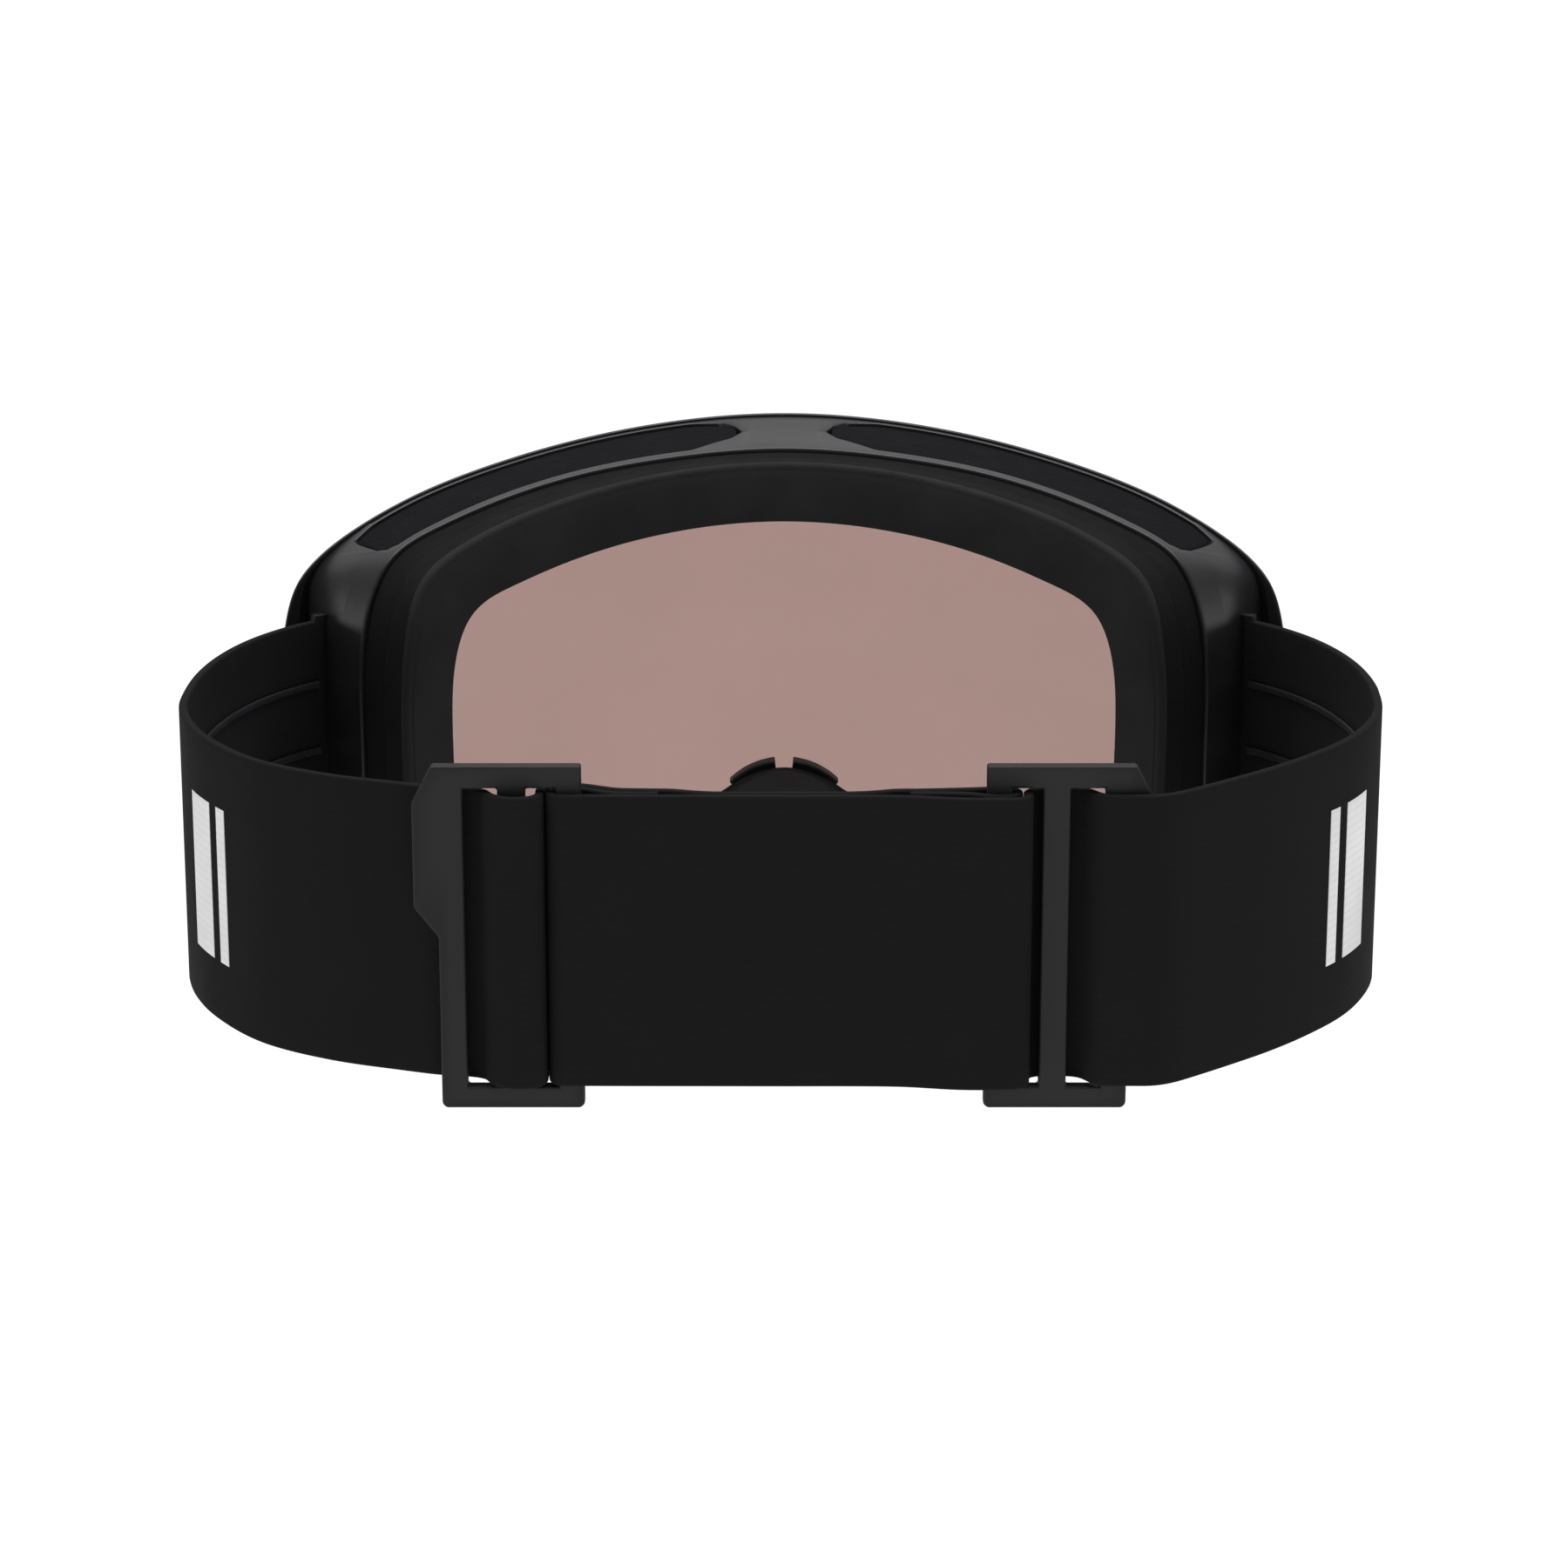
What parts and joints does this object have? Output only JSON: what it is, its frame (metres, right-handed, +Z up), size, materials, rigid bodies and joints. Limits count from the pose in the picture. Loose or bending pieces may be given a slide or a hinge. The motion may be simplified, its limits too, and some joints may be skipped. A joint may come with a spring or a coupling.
{
  "type": "ski goggles",
  "caption": "Ski goggles: moulded frame with foam-filled vents, layered face foam, curved double lens on a magnetic rim, elastic strap with slide buckles.",
  "frame": {"origin": "middle of the base: half way across the width and the depth, on the plane that the frame's cheeks stand on", "axes": "+X the wearer's right, +Y the way the wearer looks, +Z up"},
  "size_m": [0.1918, 0.157, 0.0988],
  "materials": {
    "frame_plastic": "semi-gloss moulded thermoplastic",
    "vent_foam": "open-cell black foam",
    "face_foam": "dark grey moulded foam",
    "fleece": "brushed fleece on foam",
    "rim_plastic": "gloss black moulded plastic",
    "lens_tint": "rose-brown tinted polycarbonate",
    "seal_foam": "closed-cell foam strip",
    "magnet_steel": "nickel-plated magnet",
    "clip_plastic": "black moulded plastic",
    "webbing": "black knitted elastic",
    "silicone": "silicone bead",
    "buckle_plastic": "matt moulded plastic with light grain"
  },
  "bodies": {
    "frame": {"frame": "frame_plastic", "top_vent_foam_right": "vent_foam", "top_vent_foam_left": "vent_foam", "bottom_vent_foam_right": "vent_foam", "bottom_vent_foam_left": "vent_foam", "foam_base_layer": "face_foam", "foam_middle_layer": "face_foam", "foam_fleece_layer": "fleece", "frame_magnet_1_right": "magnet_steel", "frame_magnet_1_left": "magnet_steel", "frame_magnet_2_right": "magnet_steel", "frame_magnet_2_left": "magnet_steel", "frame_magnet_3_right": "magnet_steel", "frame_magnet_3_left": "magnet_steel", "strap_clip_right": "clip_plastic", "strap_clip_left": "clip_plastic", "strap_side_right": "webbing", "strap_side_left": "webbing", "strap_outer_layer": "webbing", "strap_inner_layer": "webbing", "grip_line_1_right": "silicone", "grip_line_1_left": "silicone", "grip_line_2_right": "silicone", "grip_line_2_left": "silicone", "grip_line_3_right": "silicone", "grip_line_3_left": "silicone"},
    "lens_unit": {"outer_lens": "lens_tint", "lens_rim": "rim_plastic", "lens_seal": "seal_foam", "inner_lens": "lens_tint", "rim_magnet_1_right": "magnet_steel", "rim_magnet_1_left": "magnet_steel", "rim_magnet_2_right": "magnet_steel", "rim_magnet_2_left": "magnet_steel", "rim_magnet_3_right": "magnet_steel", "rim_magnet_3_left": "magnet_steel"},
    "buckle_right": {"buckle_right": "buckle_plastic", "strap_weave_right": "webbing", "strap_loop_right": "webbing"},
    "buckle_left": {"buckle_left": "buckle_plastic", "strap_weave_left": "webbing", "strap_loop_left": "webbing"}
  },
  "joints": [
    {"name": "lens_pull", "type": "slide", "parent": "frame", "child": "lens_unit", "axis": [0, 1, 0], "range_m": [0, 0.03]},
    {"name": "buckle_right_slide", "type": "slide", "parent": "frame", "child": "buckle_right", "axis": [1, 0, 0], "range_m": [-0.01, 0.009]},
    {"name": "buckle_left_slide", "type": "slide", "parent": "frame", "child": "buckle_left", "axis": [-1, 0, 0], "range_m": [-0.01, 0.009]}
  ]
}
